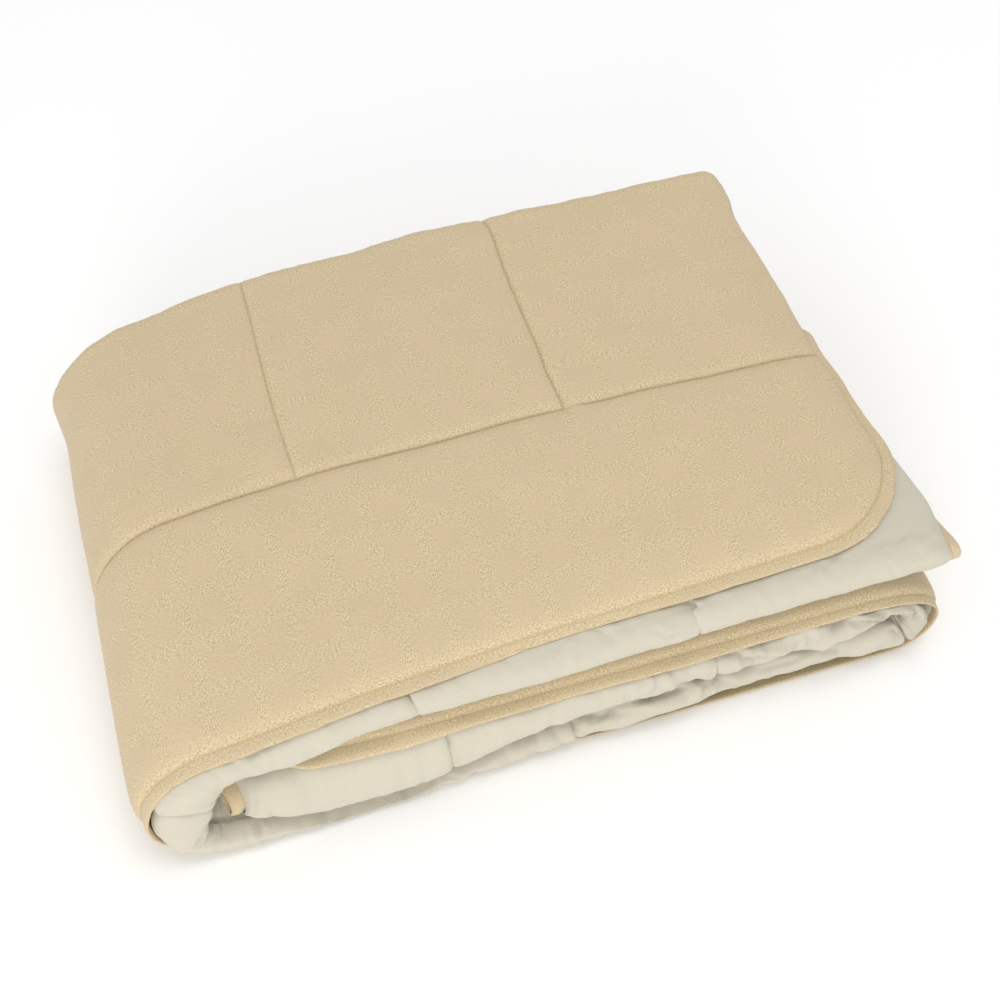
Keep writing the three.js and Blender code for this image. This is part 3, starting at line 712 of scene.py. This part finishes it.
# The front folds as the camera sees them: where each place of the flat cloth shows in the photo, how far
# from the camera it is, and whether its outside is turned to the camera.
fold_u, fold_v = np.meshgrid(np.arange(10, LONG_SIDE - 9, 1.5),
                             np.arange(FRONT_IN - 15.5, FRONT_OUT + 15, 0.5), indexing="ij")
fold_place = lay(fold_u, fold_v, -(half_thickness(fold_u, fold_v) + swells(fold_u, fold_v)))
to_camera = np.array(CAMERA_PLACE) - fold_place
camera_distance = np.linalg.norm(to_camera, axis=-1)
outward = np.cross(np.gradient(fold_place, axis=1), np.gradient(fold_place, axis=0))
facing = np.sum(outward * to_camera, -1) > 0.02 * np.linalg.norm(outward, axis=-1) * camera_distance
seen = -to_camera @ camera_axes(CAMERA_TURN, CAMERA_RISE, CAMERA_ROLL).T
focal = PHOTO_SIZE * camera_data.lens / camera_data.sensor_width
pixel_x = PHOTO_SIZE / 2 - focal * seen[..., 0] / seen[..., 2]
pixel_y = PHOTO_SIZE / 2 + focal * seen[..., 1] / seen[..., 2]


def cloth_at(pixel, part):
    """The flat cloth's place that shows at a pixel: of the part's places seen within 1.5 pixels of it, or
    else of the nearest ones, the one that lies nearest the camera."""
    first, last = PARTS[part]
    shown = facing & (fold_u >= first) & (fold_u <= last)
    miss = np.where(shown, np.hypot(pixel_x - pixel[0], pixel_y - pixel[1]), np.inf)
    near = np.where(miss < max(1.5, miss.min() + 0.8), camera_distance, np.inf)
    return fold_u.flat[near.argmin()], fold_v.flat[near.argmin()]


crease_runs = [(cloth_at(start, row["part"]), cloth_at(end, row["part"]), row["width"], row["depth"])
               for row in CREASES for start, end in zip(row["line"][:-1], row["line"][1:])]


def creases(u, v):
    """Creases of the fold, as a rise of the cloth: the traced troughs, each with one raised lip, the swells,
    and facets that meet in sharp valleys and crests, from the size of two rough heights without their sign.
    Lengths across the fold are doubled, since its outside is twice as long as its middle."""
    w = 2 * (v - FRONT_MIDDLE)
    total = swells(u, v)
    for (u0, v0), (u1, v1), width, depth in crease_runs:
        w0, w1 = 2 * (v0 - FRONT_MIDDLE), 2 * (v1 - FRONT_MIDDLE)
        span = np.hypot(u1 - u0, w1 - w0)
        ahead = ((u - u0) * (u1 - u0) + (w - w0) * (w1 - w0)) / span
        side = ((u - u0) * (w1 - w0) - (w - w0) * (u1 - u0)) / span / width
        ends = past(ahead, -3, 6) * past(span - ahead, -3, 6)
        lip = LIP_HEIGHT * np.exp(-((side - LIP_PLACE) / LIP_REACH) ** 2)
        total += CREASE_GAIN * depth * ends * (lip - np.exp(-np.abs(side)))
    warp = 9 * rough(u / 30, w / 30, 11)
    large = np.abs(rough((u + warp + 0.4 * w) / LARGE_FACET[0], w / LARGE_FACET[1] + 40, 12))
    small = np.abs(rough((u - warp - 0.3 * w) / SMALL_FACET[0], w / SMALL_FACET[1] + 9, 13))
    cross_seam = seam_distances(u, v)[1]
    return total + crumple_amount(u, v) * (large - 0.5 * small - 0.17) * puff(cross_seam, 8)


back_columns = marks([(EDGE_SEAM, 110, 3), (110, 380, 3.4), (380, 620, 2), (620, 740, 3), (740, 1000, 2.2),
                      (1000, 1890, 3.4), (1890, 1988, 3)], SEAMS_U)
back_rows = marks([(EDGE_SEAM, 60, 8), (60, 800, 30), (800, 872, 6), (872, 926, 1.3), (926, 980, 5),
                   (980, 1300, 30), (1300, 1338, 8)], SEAMS_V, near=(0.0, 3.0, 8.0))
u, v = flat_grid(rounded_columns(back_columns), back_rows)
points = lay(u, v, -(half_thickness(u, v) + puckers(u, v, 1.6, 3) + creases(u, v)))
back_cloth = cloth_mesh("back_cloth", points, grid_faces(u.shape, False), u, v, percale)
crumple = back_cloth.data.attributes.new("crumple", "FLOAT", "POINT")
crumple.data.foreach_set("value", crumple_amount(u, v).reshape(-1))
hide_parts("quilt")

# The binding: a strip of the face cloth folded over the raw edge and sewn down along the edge seam, all
# round the quilt; it is flat but a little wavy, since it is eased round the corners.
RING_STEP = 3.5
# The lower half of the strip's section, from its sewn edge to its fold: reach outward from the edge seam,
# and height. The upper half mirrors it.
HALF_SECTION = np.array([[-1.6, -0.9], [0.2, -1.25], [2.2, -1.3], [5.2, -1.35], [8.1, -1.15], [9.2, -0.6],
                         [9.4, 0.0]])
STRIP_W = 9.0
NOTCH_V, NOTCH_REACH, NOTCH_SHARE = 255.0, 25.0, 0.4
# How far the strip stands out along the front edge, as a share of its width; where it is less, it turns
# under.
STANDS = {
    "u": np.array([0, 300, 330, 420, 480, 560, 640, 740, 900, 1250, 1290, 1420, 1600, 1660, 1740, 1800,
                   2000]),
    "share": np.array([1, 0.9, 0.75, 1, 0.75, 0.65, 0.85, 0.7, 0.6, 0.7, 1.1, 0.95, 1, 0.62, 0.68, 1, 1]),
}


def outline_path(step):
    """Stops round the edge seam of the flat quilt at even steps: place, outward direction and path length."""
    straight_u, straight_v = LONG_SIDE - 2 * CORNER_R, SHORT_SIDE - 2 * CORNER_R
    radius = CORNER_R - EDGE_SEAM
    arc = radius * math.pi / 2
    lengths = np.array([straight_u, arc, straight_v, arc, straight_u, arc, straight_v, arc])
    ends = np.concatenate([[0], np.cumsum(lengths)])
    path = np.arange(0, ends[-1] - step / 2, ends[-1] / round(ends[-1] / step))
    part = np.clip(np.searchsorted(ends, path, side="right") - 1, 0, 7)
    along = path - ends[part]
    centres = np.array([[LONG_SIDE - CORNER_R, CORNER_R], [LONG_SIDE - CORNER_R, SHORT_SIDE - CORNER_R],
                        [CORNER_R, SHORT_SIDE - CORNER_R], [CORNER_R, CORNER_R]])
    turn = -math.pi / 2 + math.pi / 2 * (part // 2) + np.where(part % 2 == 1, along / radius, 0)
    out = np.stack([np.cos(turn), np.sin(turn)], -1)
    forward = np.stack([-np.sin(turn), np.cos(turn)], -1)
    middle = centres[part // 2] - np.where(part % 2 == 0, lengths[part] - along, 0)[:, None] * forward
    return middle + radius * out, out, path


def ring_faces(shape):
    """The four-sided faces of a closed tube, whose rings of points are joined in a loop."""
    here = np.arange(shape[0] * shape[1]).reshape(shape)
    ahead = np.roll(here, -1, 0)
    return np.stack([here, ahead, np.roll(ahead, -1, 1), np.roll(here, -1, 1)], -1).reshape(-1, 4)


stops, out, path = outline_path(RING_STEP)
seam_u, seam_v, path = stops[:, :1], stops[:, 1:], path[:, None]
section_out, section_up = np.concatenate([HALF_SECTION, HALF_SECTION[-2::-1] * [1, -1]]).T
at_front = 1 - past(seam_v, 150, 150)
at_inner_end = 1 - past(seam_u, 20, 40)
# Past the middle of the loose end the outer leaf has a small notch, where the strip is drawn in.
notch = NOTCH_SHARE * np.exp(-((seam_v - NOTCH_V) / NOTCH_REACH) ** 2) * past(seam_u, 1900, 60)
share = 1 - at_front * (1 - np.interp(seam_u, STANDS["u"], STANDS["share"])) - notch
# The strip waves up and down by half a millimetre round the quilt, and by 5 mm at the roll's inner end.
ruffle = rough(path / 18, 2.0, 31) * (0.5 + 4.5 * at_inner_end) + 0.25 * rough(path / 7, 5.0, 32)
reach = section_out * share * (1 + at_inner_end)
height = section_up + (ruffle - STRIP_W * (1 - share)) * np.clip(reach / STRIP_W, 0, 1)
u = seam_u + out[:, :1] * reach
v = seam_v + out[:, 1:] * reach
binding = cloth_mesh("edge_binding", lay(u, v, height), ring_faces(u.shape), u, v, crinkle)
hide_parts("binding")
